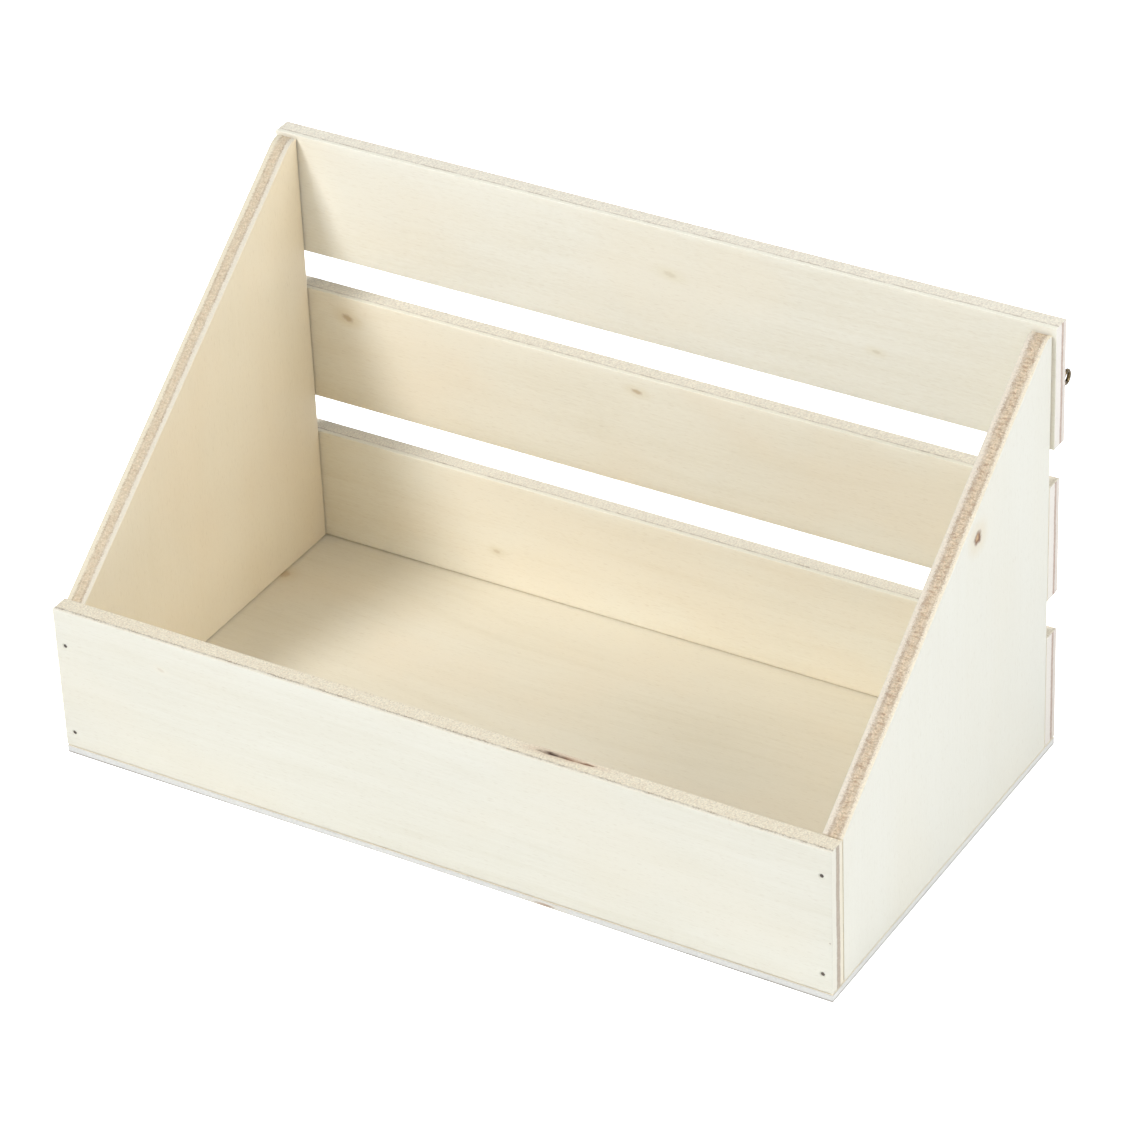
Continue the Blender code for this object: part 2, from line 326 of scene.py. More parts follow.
def veneer_group():
    """Pale close-grained face veneer.

    Grain is a place in metres with the fibres along its X. Fine fibres, soft bands, a few growth
    rings and short ripples move the colour between a pale and a deep one, broad clouds
    blend in a warm one, and short pores darken it and dent it.
    """
    recipe, given, out = new_group(
        "face_veneer",
        [("Grain", "Vector", None), ("Pale", "Color", tone(240, 236, 224)),
         ("Deep", "Color", tone(214, 203, 176)), ("Warm", "Color", tone(240, 228, 206)),
         ("Streaks", "Float", 1.0), ("Rings", "Float", 0.3), ("Ripple", "Float", 0.3),
         ("Pores", "Float", 0.5), ("Clouds", "Float", 0.5)],
        [("Color", "Color"), ("Roughness", "Float"), ("Height", "Float")],
    )
    grain = given["Grain"]
    fibres = recipe.noise(recipe.spread(grain, (45, 1500, 1500)), 3.0, 0.6)
    bands = recipe.noise(recipe.spread(grain, (7, 130, 130)), 3.0, 0.55)
    clouds = recipe.noise(recipe.spread(grain, (13, 38, 38)), 2.0, 0.5)
    blush = recipe.noise(recipe.spread(grain, (17, 29, 29), (3.1, 1.7, 0.4)), 2.0, 0.5)
    drift = recipe.noise(recipe.spread(grain, (4.5, 22, 22), (0.3, 5.0, 2.0)), 1.0, 0.5)
    across = recipe.parts(grain)[1]
    turns = recipe.sum("MULTIPLY_ADD", drift, 9.0, recipe.sum("MULTIPLY", across, 150.0))
    ring = recipe.sum("SINE", recipe.sum("MULTIPLY", turns, 2 * math.pi))
    ring = recipe.sum("MULTIPLY", recipe.ease(ring, 0.35, 1.0), recipe.ease(clouds, 0.35, 0.6))
    ripple = recipe.noise(recipe.spread(grain, (330, 1300, 1300), (0.0, 2.0, 0.0)), 2.0, 0.6)
    pore_noise = recipe.noise(recipe.spread(grain, (420, 3300, 3300)), 1.0, 0.5)
    pores = recipe.sum("MULTIPLY", recipe.ease(pore_noise, 0.60, 0.74), given["Pores"])

    shade = recipe.sum("MULTIPLY_ADD", recipe.sum("SUBTRACT", fibres, 0.5), 0.9, 0.28)
    shade = recipe.sum("MULTIPLY_ADD", recipe.sum("SUBTRACT", bands, 0.5), 1.3, shade)
    shade = recipe.sum("MULTIPLY", shade, given["Streaks"])
    shade = recipe.sum("MULTIPLY_ADD", ring, given["Rings"], shade)
    rippled = recipe.sum("MULTIPLY", recipe.sum("SUBTRACT", ripple, 0.5), given["Ripple"])
    shade = recipe.sum("ADD", shade, rippled)
    cloudy = recipe.sum("MULTIPLY", recipe.sum("SUBTRACT", clouds, 0.5), given["Clouds"])
    shade = recipe.sum("ADD", shade, recipe.sum("MULTIPLY", cloudy, 1.6), clamp=True)
    colour = recipe.mix(shade, given["Pale"], given["Deep"])
    warmth = recipe.sum("MULTIPLY", recipe.ease(blush, 0.42, 0.68), given["Clouds"])
    colour = recipe.mix(warmth, colour, given["Warm"])
    colour = recipe.mix(pores, colour, recipe.mix(1.0, colour, tone(206, 188, 156), "MULTIPLY"))
    rough = recipe.ease(fibres, 0.2, 0.8, 0.62, 0.78)
    height = recipe.sum("MULTIPLY_ADD", fibres, 0.6, recipe.sum("MULTIPLY", bands, 0.4))
    height = recipe.sum("SUBTRACT", height, recipe.sum("MULTIPLY", pores, 0.8))
    deliver(recipe, out, Color=colour, Roughness=rough, Height=height)
    return recipe.tree


def layers_group():
    """The sawn edge of three-ply board.

    Depth runs from 0 at one face to 1 at the other, and Run is a place in metres. Two thin
    veneers lie outside a crosswise core, with a glue line at each joint. The glue lines wander
    and come and go as dark flecks, the core is speckled with cut fibres, and the core and the
    lines lie a little lower than the veneers.
    """
    recipe, given, out = new_group(
        "sawn_layers",
        [("Depth", "Float", 0.5), ("Run", "Vector", None),
         ("First Line", "Float", 0.2), ("Second Line", "Float", 0.8), ("Line Width", "Float", 0.04),
         ("Softness", "Float", 0.03), ("Fray", "Float", 0.08), ("Fray Scale", "Float", 800.0),
         ("First Veneer", "Color", tone(235, 228, 212)), ("Core", "Color", tone(222, 208, 188)),
         ("Second Veneer", "Color", tone(235, 228, 212)), ("Glue", "Color", tone(150, 122, 96)),
         ("Glue Share", "Float", 0.6), ("Speckle", "Float", 0.5), ("Core Wisps", "Float", 0.3),
         ("Wisp Scale", "Vector", (2500.0, 700.0, 2500.0)), ("Wisp Color", "Color", tone(160, 128, 100))],
        [("Color", "Color"), ("Roughness", "Float"), ("Height", "Float")],
    )
    run = given["Run"]
    sway = recipe.noise(recipe.spread(run, (60, 60, 60)), 2.0, 0.5)
    fine = recipe.add("ShaderNodeVectorMath", ((0, run), ("Scale", given["Fray Scale"])), operation="SCALE")
    fray = recipe.noise(fine.outputs[0], 2.0, 0.6)
    depth = recipe.sum("MULTIPLY_ADD", recipe.sum("SUBTRACT", sway, 0.5), 0.10, given["Depth"])
    depth = recipe.sum("MULTIPLY_ADD", recipe.sum("SUBTRACT", fray, 0.5), given["Fray"], depth)
    soft = given["Softness"]
    sharp = recipe.sum("MULTIPLY", soft, -1.0)
    past_first = recipe.ease(recipe.sum("SUBTRACT", depth, given["First Line"]), sharp, soft)
    past_second = recipe.ease(recipe.sum("SUBTRACT", depth, given["Second Line"]), sharp, soft)
    core = recipe.sum("SUBTRACT", past_first, past_second, clamp=True)
    first_gap = recipe.sum("ABSOLUTE", recipe.sum("SUBTRACT", depth, given["First Line"]))
    second_gap = recipe.sum("ABSOLUTE", recipe.sum("SUBTRACT", depth, given["Second Line"]))
    first_glue = recipe.ease(first_gap, 0.0, given["Line Width"], 1.0, 0.0)
    second_glue = recipe.ease(second_gap, 0.0, given["Line Width"], 1.0, 0.0)
    glue = recipe.sum("MAXIMUM", first_glue, second_glue)
    patch = recipe.noise(recipe.spread(run, (230, 230, 230), (1.0, 4.0, 2.0)), 3.0, 0.7)
    glue = recipe.sum("MULTIPLY", glue, recipe.ease(patch, 0.30, 0.68, 0.25, 1.0))
    glue = recipe.sum("MULTIPLY", glue, given["Glue Share"])

    grit = recipe.noise(recipe.spread(run, (1900, 1900, 1900)), 3.0, 0.7)
    grit = recipe.sum("MULTIPLY", recipe.sum("SUBTRACT", grit, 0.5), given["Speckle"])
    warp = recipe.add("ShaderNodeVectorMath", ((0, run), (1, given["Wisp Scale"])), operation="MULTIPLY")
    wisp_noise = recipe.noise(warp.outputs[0], 3.0, 0.65, 0.4)
    wisps = recipe.sum("MULTIPLY", recipe.ease(wisp_noise, 0.44, 0.66), given["Core Wisps"])

    colour = recipe.mix(past_first, given["First Veneer"], given["Core"])
    colour = recipe.mix(past_second, colour, given["Second Veneer"])
    colour = recipe.mix(recipe.sum("MULTIPLY", wisps, core), colour, given["Wisp Color"])
    bright = recipe.sum("MULTIPLY_ADD", grit, recipe.sum("MULTIPLY_ADD", core, 1.1, 0.6), 1.0)
    grey = recipe.add("ShaderNodeCombineColor", ((0, bright), (1, bright), (2, bright))).outputs[0]
    colour = recipe.mix(1.0, colour, grey, "MULTIPLY")
    colour = recipe.mix(glue, colour, given["Glue"])
    rough = recipe.ease(core, 0.0, 1.0, 0.72, 0.85)
    height = recipe.sum("MULTIPLY_ADD", core, -0.5, recipe.sum("MULTIPLY", glue, -0.6))
    height = recipe.sum("MULTIPLY_ADD", wisps, -0.5, recipe.sum("MULTIPLY_ADD", grit, 0.7, height))
    deliver(recipe, out, Color=colour, Roughness=rough, Height=height)
    return recipe.tree


def knot_group():
    """A small knot or stain on top of a wood colour.

    Spot is a place measured in knot radii from the knot's middle. The heart fills the inside of
    radius 1 with a ragged rim, and a halo fades out to three radii.
    """
    recipe, given, out = new_group(
        "knot",
        [("Spot", "Vector", None), ("Color", "Color", None), ("Height", "Float", 0.0),
         ("Heart", "Color", tone(150, 100, 58)), ("Halo", "Color", tone(226, 205, 160)),
         ("Heart Share", "Float", 0.9), ("Halo Share", "Float", 0.5)],
        [("Color", "Color"), ("Height", "Float")],
    )
    far = recipe.add("ShaderNodeVectorMath", ((0, given["Spot"]),), operation="LENGTH").outputs[1]
    ragged = recipe.noise(recipe.spread(given["Spot"], (1.6, 1.6, 1.6)), 3.0, 0.6)
    far = recipe.sum("MULTIPLY_ADD", recipe.sum("SUBTRACT", ragged, 0.5), 0.9, far)
    heart = recipe.sum("MULTIPLY", recipe.ease(far, 0.35, 1.1, 1.0, 0.0), given["Heart Share"])
    halo = recipe.sum("MULTIPLY", recipe.ease(far, 0.8, 3.0, 1.0, 0.0), given["Halo Share"])
    colour = recipe.mix(halo, given["Color"], given["Halo"])
    colour = recipe.mix(heart, colour, given["Heart"])
    height = recipe.sum("MULTIPLY_ADD", heart, -1.2, given["Height"])
    deliver(recipe, out, Color=colour, Height=height)
    return recipe.tree


VENEER = veneer_group()
LAYERS = layers_group()
KNOT = knot_group()


def new_material(name):
    """An empty Principled material. Returns its recipe, its shader and its Object coordinates."""
    material = bpy.data.materials.new(name)
    material.use_nodes = True
    recipe = Recipe(material.node_tree)
    shader = material.node_tree.nodes["Principled BSDF"]
    place = recipe.add("ShaderNodeTexCoord").outputs["Object"]
    return material, recipe, shader, place


def finish_wood(recipe, shader, colour, rough, height, relief):
    """Join a wood's colour, roughness and relief in metres to its shader."""
    links = recipe.tree.links
    links.new(colour, shader.inputs["Base Color"])
    links.new(rough, shader.inputs["Roughness"])
    bump = recipe.add("ShaderNodeBump", (("Height", height), ("Strength", 1.0), ("Distance", relief)))
    links.new(bump.outputs[0], shader.inputs["Normal"])
    shader.inputs["IOR"].default_value = 1.45


def add_knots(recipe, place, colour, height, knots):
    """Lay knots over a veneer, each at a place in metres, with its half sizes and its tilt."""
    for centre, size, tilt, shades in knots:
        spot = recipe.add("ShaderNodeMapping", (
            ("Vector", place), ("Location", centre), ("Rotation", tilt), ("Scale", size),
        ), vector_type="TEXTURE").outputs[0]
        laid = recipe.group(KNOT, Spot=spot, Color=colour, Height=height, **shades)
        colour, height = laid["Color"], laid["Height"]
    return colour, height


def face_material(name, grain_turn, shift, knots=(), relief=0.02 * MM, **look):
    """Face veneer, with its grain along X once the place has had the given turn."""
    material, recipe, shader, place = new_material(name)
    grain = recipe.spread(place, (1, 1, 1), shift, grain_turn)
    laid = recipe.group(VENEER, Grain=grain, **look)
    colour, height = add_knots(recipe, place, laid["Color"], laid["Height"], knots)
    finish_wood(recipe, shader, colour, laid["Roughness"], height, relief)
    return material


def edge_material(name, thick_axis, face, thickness, marks=(), relief=0.06 * MM, **look):
    """Sawn edge, its layers counted from the face at a coordinate across the thickness."""
    material, recipe, shader, place = new_material(name)
    across = recipe.parts(place)[thick_axis]
    depth = recipe.sum("DIVIDE", recipe.sum("SUBTRACT", across, face), thickness)
    laid = recipe.group(LAYERS, Depth=depth, Run=place, **look)
    colour, height = add_knots(recipe, place, laid["Color"], laid["Height"], marks)
    finish_wood(recipe, shader, colour, laid["Roughness"], height, relief)
    return material


# ------------------------------------------------------------------ the boards' own finishes

ALONG_X = (math.radians(-90), 0, 0)      # turns a slat's or the front board's grain to X
ALONG_Z = (0, math.radians(90), 0)       # turns a side panel's upright grain to X
# Each board's pale, deep and warm tones: no two sheets of veneer are quite the same. The left panel's tones
# are warmer and darker than the right's: painted shade for its dim inner face.
FACE_TONES = {
    "front": (tone(226, 219, 197), tone(212, 202, 174), tone(226, 215, 188)),
    "base": (tone(228, 217, 190), tone(214, 200, 168), tone(229, 213, 182)),
    # warmer and darker than the right panel: painted shade for the left panel's inner face
    "left": (tone(230, 215, 183), tone(217, 199, 161), tone(230, 210, 174)),
    "right": (tone(221, 215, 195), tone(212, 204, 180), tone(221, 213, 190)),
    "top": (tone(233, 225, 202), tone(216, 203, 172), tone(232, 218, 188)),
    "middle": (tone(236, 226, 200), tone(216, 201, 166), tone(235, 217, 184)),
    "bottom": (tone(237, 228, 203), tone(218, 203, 168), tone(236, 219, 187)),
}


def from_front(x, y, z):
    """A place in millimetres: from the middle, back from the front face, and up."""
    return (x * MM, FRONT_FACE + y * MM, z * MM)


FRONT_KNOTS = (
    (from_front(-90, 0, 40.7), (1.6 * MM, 3 * MM, 0.7 * MM), (0, math.radians(14), 0),
     dict(Heart=tone(206, 190, 160), Halo=tone(228, 219, 194), Heart_Share=0.55, Halo_Share=0.45)),
    (from_front(126.3, 0, 20), (0.30 * MM, 1 * MM, 0.26 * MM), (0, 0, 0),
     dict(Heart=tone(150, 130, 110), Heart_Share=0.8, Halo_Share=0.1)),
)
SIDE_KNOTS = (
    (from_front(127, 85.6, 100.8), (2 * MM, 2.6 * MM, 2.5 * MM), (math.radians(-20), 0, 0),
     dict(Heart=tone(116, 72, 38), Halo=tone(214, 192, 150), Heart_Share=0.95, Halo_Share=0.35)),
    (from_front(127, 85.3, 101.1), (2 * MM, 1.1 * MM, 1.3 * MM), (math.radians(-20), 0, 0),
     dict(Heart=tone(196, 162, 118), Halo=tone(150, 104, 62), Heart_Share=0.85, Halo_Share=0.0)),
)
MIDDLE_KNOTS = (
    (from_front(-107, 130.6, 84.3), (2.5 * MM, 2 * MM, 1.4 * MM), (0, math.radians(16), 0),
     dict(Heart=tone(170, 136, 90), Halo=tone(216, 196, 154), Heart_Share=0.6, Halo_Share=0.4)),
    (from_front(-6.4, 130.6, 86.1), (2.3 * MM, 2 * MM, 0.9 * MM), (0, math.radians(6), 0),
     dict(Heart=tone(182, 152, 108), Halo=tone(220, 203, 164), Heart_Share=0.65, Halo_Share=0.35)),
)
TOP_KNOTS = (
    (from_front(6, 130.6, 128.8), (2.7 * MM, 2 * MM, 1.1 * MM), (0, math.radians(8), 0),
     dict(Heart=tone(196, 178, 140), Halo=tone(222, 210, 176), Heart_Share=0.4, Halo_Share=0.35)),
    (from_front(72.5, 130.6, 121), (1.8 * MM, 2 * MM, 0.8 * MM), (0, 0, 0),
     dict(Heart=tone(202, 186, 150), Halo=tone(224, 212, 180), Heart_Share=0.5, Halo_Share=0.4)),
)
BOTTOM_KNOTS = (
    (from_front(-58, 130.6, 15), (1.6 * MM, 2 * MM, 0.8 * MM), (0, 0, 0),
     dict(Heart=tone(196, 172, 132), Halo=tone(216, 200, 164), Heart_Share=0.5, Halo_Share=0.4)),
)

TOP_EDGE = dict(
    First_Line=0.18, Second_Line=1.30, Line_Width=0.08, Softness=0.05, Fray=0.30, Fray_Scale=2600.0,
    First_Veneer=tone(230, 220, 195), Core=tone(227, 214, 184), Second_Veneer=tone(238, 228, 204),
    Glue=tone(116, 84, 56), Glue_Share=0.75, Speckle=0.6, Core_Wisps=0.3, Wisp_Color=tone(192, 162, 126),
)
SLAT_EDGE = dict(
    First_Line=0.24, Second_Line=1.30, Line_Width=0.06, Softness=0.05, Fray=0.14, Fray_Scale=2200.0,
    First_Veneer=tone(239, 230, 203), Core=tone(236, 225, 198), Second_Veneer=tone(238, 229, 202),
    Glue=tone(140, 106, 74), Glue_Share=0.6, Speckle=0.5, Core_Wisps=0.3, Wisp_Color=tone(200, 176, 148),
)
FRONT_END = dict(
    First_Line=0.40, Second_Line=0.68, Line_Width=0.05, First_Veneer=tone(220, 212, 190),
    Core=tone(180, 164, 142), Second_Veneer=tone(222, 211, 184), Glue=tone(150, 128, 104),
    Glue_Share=0.5, Speckle=0.25, Core_Wisps=0.3, Wisp_Color=tone(150, 130, 108),
)
SLAT_END = dict(
    First_Line=0.52, Second_Line=0.68, Line_Width=0.06, First_Veneer=tone(224, 214, 196),
    Core=tone(190, 166, 146), Second_Veneer=tone(216, 204, 186), Glue=tone(158, 130, 110),
    Glue_Share=0.5, Speckle=0.3, Core_Wisps=0.3, Wisp_Color=tone(160, 132, 112),
)
SLOPE_EDGES = {
    "left": dict(
        First_Line=0.30, Second_Line=0.72, Line_Width=0.08, Softness=0.14, Fray=0.30, Fray_Scale=2600.0,
        First_Veneer=tone(218, 204, 172), Core=tone(204, 184, 150), Second_Veneer=tone(214, 201, 174),
        Glue=tone(138, 104, 74), Glue_Share=0.55, Speckle=0.6, Core_Wisps=0.4,
        Wisp_Color=tone(172, 140, 108), Wisp_Scale=(500.0, 1500.0, 1500.0),
    ),
    "right": dict(
        First_Line=0.26, Second_Line=0.70, Line_Width=0.12, Softness=0.22, Fray=0.42, Fray_Scale=3000.0,
        First_Veneer=tone(230, 215, 184), Core=tone(203, 180, 146), Second_Veneer=tone(218, 204, 178),
        Glue=tone(128, 94, 66), Glue_Share=0.5, Speckle=0.9, Core_Wisps=0.6,
        Wisp_Color=tone(152, 114, 82), Wisp_Scale=(500.0, 1500.0, 1500.0),
    ),
}
# The lowest veneer of the base's edge is dark grey: painted shade along its foot, where the base stands on
# the floor.
BASE_EDGE_WITH_FOOT_SHADE = dict(
    First_Line=0.24, Second_Line=0.93, Line_Width=0.12, First_Veneer=tone(168, 160, 146),
    Core=tone(216, 211, 198), Second_Veneer=tone(210, 204, 190), Glue=tone(158, 148, 132),
    Glue_Share=0.4, Speckle=0.2, Core_Wisps=0.1, Wisp_Color=tone(176, 162, 142),
)


def face_look(sheet, **changes):
    pale, deep, warm = FACE_TONES[sheet]
    look = dict(Pale=pale, Deep=deep, Warm=warm, Streaks=0.38, Rings=0.08,
                Ripple=0.25, Pores=0.15, Clouds=0.4)
    look.update(changes)
    return look


def nails_of(prefix, axis, side):
    """Where the brads of a board enter it, as dents."""
    found = []
    for node in sorted(NODES):
        if node.startswith(prefix):
            low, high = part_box(node)
            found.append((tuple((low + high) / 2), NAIL_DENT, axis, side))
    return found


def build_boards():
    """All seven boards, in place of their CAD nodes."""
    front_face = face_material("front_board_veneer", ALONG_X, (0.31, 0.22, 0.17), FRONT_KNOTS,
                               **face_look("front", Streaks=0.5))
    # The dark and brown marks below lie along the void in the front board's top edge: painted shade inside
    # the void, over the hollow that the mesh sinks there.
    dark = dict(Heart=tone(66, 42, 26), Halo=tone(190, 150, 112), Heart_Share=1.0, Halo_Share=0.25)
    brown = dict(Heart=tone(104, 68, 42), Halo=tone(200, 164, 128), Heart_Share=0.95, Halo_Share=0.2)
    front_edge = edge_material("front_board_edge", 1, FRONT_FACE, PLY, (
        (from_front(48.0, 4.85, 50.4), (4.6 * MM, 0.50 * MM, 2 * MM), (0, 0, 0), brown),
        (from_front(43.0, 4.80, 50.4), (5.2 * MM, 0.70 * MM, 2 * MM), (0, 0, 0), brown),
        (from_front(38.0, 4.75, 50.4), (5.2 * MM, 0.95 * MM, 2 * MM), (0, 0, 0), dark),
    ), **TOP_EDGE)
    front_end = edge_material("front_board_end", 1, FRONT_FACE, PLY, **FRONT_END)
    board("front_board_plywood", "front_board", 1, (front_face, front_edge, front_end),
          dents=nails_of("front_nail", 1, -1), seed=11,
          void={"from": 34.3 * MM, "to": 51 * MM, "centre": FRONT_FACE + 4.75 * MM,
                "width": 0.6 * MM, "depth": 1.3 * MM})

    base_face = face_material("base_panel_veneer", (0, 0, 0), (0.13, 0.42, 0.37), (
        # This golden-brown spot sits where the base meets the left wall near the back: painted shade in
        # that corner.
        (from_front(-120, 106, 2.5), (2.2 * MM, 2.2 * MM, 2 * MM), (0, 0, 0),
         dict(Heart=tone(196, 164, 118), Halo=tone(220, 200, 160), Heart_Share=0.6, Halo_Share=0.4)),
    ), **face_look("base", Rings=0.12, Clouds=0.45))
    base_edge = edge_material("base_panel_edge", 2, 0.0, BASE_BOX[1].z, (
        (from_front(36, 0, 1.2), (4 * MM, 1 * MM, 0.5 * MM), (0, 0, 0),
         dict(Heart=tone(150, 110, 76), Heart_Share=0.7, Halo_Share=0.2)),
    ), **BASE_EDGE_WITH_FOOT_SHADE)
    board("base_panel_plywood", "base_panel", 2, (base_face, base_edge, base_edge),
          dents=nails_of("base_nail", 2, -1), seed=21, bow=0.7 * MM)

    knots_on = {"left": (), "right": SIDE_KNOTS}
    for hand, sign in (("left", -1), ("right", 1)):
        shift = (0.52, 0.11, 0.27) if hand == "left" else (0.73, 0.38, 0.05)
        side_face = face_material(f"{hand}_side_veneer", ALONG_Z, shift, knots_on[hand],
                                  **face_look(hand, Streaks=0.22, Rings=0.0, Ripple=0.1))
        side_edge = edge_material(f"{hand}_side_edge", 0, sign * HALF_WIDTH, -sign * PLY,
                                  **SLOPE_EDGES[hand])
        board(f"{hand}_side_plywood", f"{hand}_side_panel", 0,
              (side_face, side_edge), seed=31 + sign, slope=FRONT_BOX[1].z - SLOPE_DROPS[hand])

    knots = {"top": TOP_KNOTS, "middle": MIDDLE_KNOTS, "bottom": BOTTOM_KNOTS}
    shifts = {"top": (0.91, 0.03, 0.6), "middle": (0.23, 0.71, 0.8), "bottom": (0.64, 0.55, 0.33)}
    for number, level in enumerate(("bottom", "middle", "top")):
        slat_face = face_material(f"{level}_slat_veneer", ALONG_X, shifts[level], knots[level],
                                  **face_look(level, Ripple=0.6 if level == "top" else 0.4))
        slat_edge = edge_material(f"{level}_slat_edge", 1, SLAT_FACE, PLY, **SLAT_EDGE)
        slat_end = edge_material(f"{level}_slat_end", 1, SLAT_FACE, PLY, **SLAT_END)
        dents = nails_of(f"{level}_slat_nail", 1, 1)
        if level == "top":
            for hand in ("left", "right"):
                low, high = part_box(f"screw_eye_{hand}")
                dents.append((tuple((low + high) / 2), 1.0 * MM, 1, 1))
        board(f"{level}_slat_plywood", f"back_slat_{level}", 1,
              (slat_face, slat_edge, slat_end), dents=dents, seed=41 + 3 * number)


# ------------------------------------------------------------------ metal

def metal_material(name, colour, worn, tarnish, roughness):
    """Metal with a mottled tarnish: the colour and the roughness follow two noises."""
    material, recipe, shader, place = new_material(name)
    mottle = recipe.noise(recipe.spread(place, (1200, 1200, 1200)), 3.0, 0.6)
    shine = recipe.noise(recipe.spread(place, (5000, 5000, 5000)), 2.0, 0.5)
    colour = recipe.mix(recipe.ease(mottle, 0.35, 0.65), colour, worn)
    colour = recipe.mix(recipe.ease(shine, 0.55, 0.75), colour, tarnish)
    rough = recipe.ease(mottle, 0.3, 0.7, roughness - 0.08, roughness + 0.12)
    recipe.tree.links.new(colour, shader.inputs["Base Color"])
    recipe.tree.links.new(rough, shader.inputs["Roughness"])
    bump = recipe.add("ShaderNodeBump", (("Height", shine), ("Strength", 1.0), ("Distance", 0.01 * MM)))
    recipe.tree.links.new(bump.outputs[0], shader.inputs["Normal"])
    shader.inputs["Metallic"].default_value = 1.0
    return material


def build_brads():
    """The brads keep their CAD shapes and get dull steel, dark enough to stand for the shade in their
    holes: painted shade.
    """
    # The steel's tones are kept dark: painted shade of the hollow round each brad's head, on top of real
    # dull steel.
    steel = metal_material("brad_steel_and_hole_shade", tone(96, 88, 80), tone(122, 112, 100), tone(84, 62, 46), 0.45)
    for node in NODES:
        if "_nail_" in node:
            NODES[node].data.materials.clear()
            NODES[node].data.materials.append(steel)


def screw_eye(hand, metal):
    """A screw eye as one wire of round section swept along its path.

    The path runs straight along the axis, bends off it by a quadratic curve that meets the ring
    where the two tangents cross, and goes round the ring to an open end. The wire's radius grows
    from a point, and along the threaded part a ridge adds to it where the turn round the wire,
    less the distance over the pitch, is near a whole number.
    """
    node = f"screw_eye_{hand}"
    low, high = (np.array(corner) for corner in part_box(node))
    wire = (high[0] - low[0]) / 2
    loop = (high[2] - low[2]) / 2 - wire
    centre_x, centre_z = (low[0] + high[0]) / 2, (low[2] + high[2]) / 2
    ring_y = high[1] - loop - wire
    leave = math.radians(38)
    meet = ring_y - loop / math.cos(leave)
    start = meet - loop * math.tan(leave)
    pitch, ridge, thread_end = 0.9 * MM, 0.16 * MM, REAR_FACE + 2.2 * MM

    straight = np.arange(low[1], start, 0.09 * MM)
    bend = np.linspace(0, 1, 9)[1:-1]
    turn = np.linspace(leave, math.radians(322), 48)
    bend_end = (ring_y - loop * math.cos(leave), centre_z + loop * math.sin(leave))
    path_y = np.concatenate((
        straight,
        (1 - bend) ** 2 * start + 2 * bend * (1 - bend) * meet + bend ** 2 * bend_end[0],
        ring_y - loop * np.cos(turn),
    ))
    path_z = np.concatenate((
        np.full(len(straight), centre_z),
        (1 - bend) ** 2 * centre_z + 2 * bend * (1 - bend) * centre_z + bend ** 2 * bend_end[1],
        centre_z + loop * np.sin(turn),
    ))
    ahead_y, ahead_z = np.gradient(path_y), np.gradient(path_z)
    size = np.hypot(ahead_y, ahead_z)
    side_y, side_z = -ahead_z / size, ahead_y / size

    round_steps = 20
    angle = np.linspace(0, 2 * math.pi, round_steps, endpoint=False)
    along = path_y - low[1]
    body = wire * np.clip(0.12 + along / (2.6 * MM), 0, 1)
    body = np.where(np.arange(len(body)) < len(straight), body, wire)
    shift = (angle[None, :] / (2 * math.pi) - along[:, None] / pitch) % 1.0
    crest = np.clip(1 - np.abs(shift - 0.5) / 0.24, 0, 1)
    threaded = np.clip((thread_end - path_y) / pitch, 0, 1) * np.clip(along / (1.5 * MM), 0, 1)
    threaded = np.where(np.arange(len(body)) < len(straight), threaded, 0)
    radius = body[:, None] + ridge * crest * threaded[:, None]
    end = np.clip((len(body) - 1 - np.arange(len(body))) / 2.0, 0, 1) ** 0.5
    radius = radius * (0.55 + 0.45 * end)[:, None]
    points = np.stack((
        centre_x + radius * np.cos(angle),
        path_y[:, None] + radius * np.sin(angle) * side_y[:, None],
        path_z[:, None] + radius * np.sin(angle) * side_z[:, None],
    ), axis=-1).reshape(-1, 3)
    points[:, 1] = np.minimum(points[:, 1], high[1])
    ring, step = np.meshgrid(np.arange(len(path_y) - 1), np.arange(round_steps), indexing="ij")
    after = (step + 1) % round_steps
    quads = np.stack((
        ring * round_steps + step, ring * round_steps + after,
        (ring + 1) * round_steps + after, (ring + 1) * round_steps + step,
    ), axis=-1).reshape(-1, 4)
    last = (len(path_y) - 1) * round_steps
    caps = [list(range(round_steps))[::-1], list(range(last, last + round_steps))]
    mesh = bpy.data.meshes.new(f"{hand}_screw_eye")
    mesh.from_pydata(points.tolist(), [], quads.tolist() + caps)
    mesh.materials.append(metal)
    mesh.polygons.foreach_set("use_smooth", np.ones(len(mesh.polygons), dtype=bool))
    mesh.update()
    piece = bpy.data.objects.new(f"{hand}_screw_eye", mesh)
    bpy.context.scene.collection.objects.link(piece)
    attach(piece, "root")
    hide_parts(node)


def build_metal():
    build_brads()
    bronze = metal_material("screw_eye_bronze", tone(104, 88, 62), tone(140, 118, 80),
                            tone(64, 54, 42), 0.34)
    for hand in ("left", "right"):
        screw_eye(hand, bronze)


# ------------------------------------------------------------------ stage, light and camera

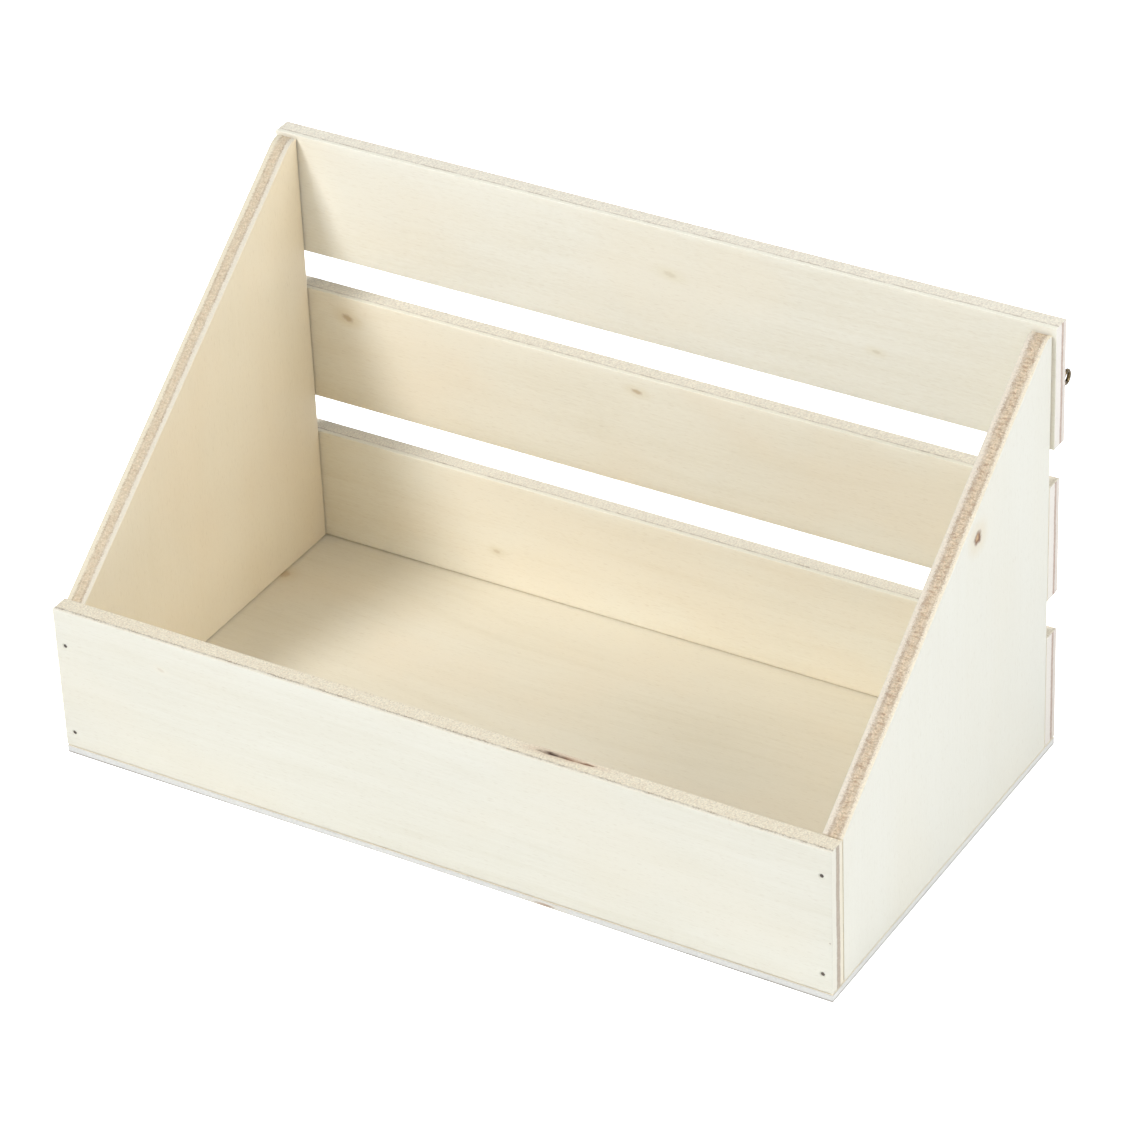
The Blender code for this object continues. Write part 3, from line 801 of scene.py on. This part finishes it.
def build_stage():
    """A plain white card, wide enough to reach past every view.

    It glows where the camera looks at it, so that it stays white in soft shade. The glow lights
    nothing else.
    """
    half = 6.0
    corners = [(-half, -half, 0), (half, -half, 0), (half, half, 0), (-half, half, 0)]
    mesh = bpy.data.meshes.new("floor")
    mesh.from_pydata(corners, [], [(0, 1, 2, 3)])
    material, recipe, shader, place = new_material("floor_card")
    clouds = recipe.noise(recipe.spread(place, (2, 2, 2)), 2.0, 0.5)
    colour = recipe.mix(clouds, tone(252, 252, 251), tone(250, 250, 249))
    recipe.tree.links.new(colour, shader.inputs["Base Color"])
    shader.inputs["Roughness"].default_value = 0.9
    shader.inputs["Specular IOR Level"].default_value = 0.1
    shader.inputs["Emission Color"].default_value = (1.0, 1.0, 1.0, 1.0)
    seen = recipe.add("ShaderNodeLightPath").outputs["Is Camera Ray"]
    glow = recipe.sum("MULTIPLY", seen, 0.95)
    recipe.tree.links.new(glow, shader.inputs["Emission Strength"])
    mesh.materials.append(material)
    floor = bpy.data.objects.new("floor", mesh)
    bpy.context.scene.collection.objects.link(floor)
    floor.location.z = -0.0002


def area_light(name, azimuth, elevation, distance, size, power, colour):
    """A square softbox that faces the object. Azimuth 0 is in front, and 90 is at the right."""
    light = bpy.data.lights.new(name, "AREA")
    light.shape = "SQUARE"
    light.size = size
    light.energy = power
    light.color = colour
    lamp = bpy.data.objects.new(name, light)
    turn, lift = math.radians(azimuth), math.radians(elevation)
    lamp.location = (distance * math.sin(turn) * math.cos(lift),
                     -distance * math.cos(turn) * math.cos(lift),
                     0.06 + distance * math.sin(lift))
    lamp.rotation_euler = (math.pi / 2 - lift, 0, turn)
    bpy.context.scene.collection.objects.link(lamp)


# Softboxes: name, azimuth and elevation in degrees, size in metres, power in watts
SOFTBOXES = (
    ("key_softbox", -38, 45, 0.46, 20.5),
    ("front_softbox", -13, 34, 0.6, 6.5),
    ("right_softbox", 95, 30, 1.1, 22.0),
    ("inner_softbox", 35, 28, 0.9, 2.5),
    ("rear_softbox", 168, 20, 0.9, 7.0),
)
SOFTBOX_DISTANCE = 1.7
DAYLIGHT = (0.94, 1.0, 1.14)         # a little bluer than white


def build_light():
    """Soft cool daylight: strong from the front left and the right, weak from front and rear."""
    world = bpy.data.worlds.new("studio")
    world.use_nodes = True
    background = world.node_tree.nodes["Background"]
    background.inputs["Color"].default_value = (*DAYLIGHT, 1.0)
    background.inputs["Strength"].default_value = 0.06
    bpy.context.scene.world = world
    for name, azimuth, elevation, size, power in SOFTBOXES:
        area_light(name, azimuth, elevation, SOFTBOX_DISTANCE, size, power, DAYLIGHT)
    bpy.context.scene.view_settings.view_transform = "Standard"


def build_camera():
    """A long lens from above the front's right-hand end."""
    camera = bpy.data.objects.new("camera", bpy.data.cameras.new("camera"))
    camera.data.sensor_width = 36.0
    camera.data.lens = 158.69
    camera.data.clip_start = 0.1
    camera.data.clip_end = 50.0
    camera.location = (0.6293545, -1.0066373, 0.8371960)
    camera.rotation_euler = tuple(math.radians(angle) for angle in (56.8076, 2.1641, 30.5866))
    bpy.context.scene.collection.objects.link(camera)
    bpy.context.scene.camera = camera


build_boards()
build_metal()
build_stage()
build_light()
build_camera()
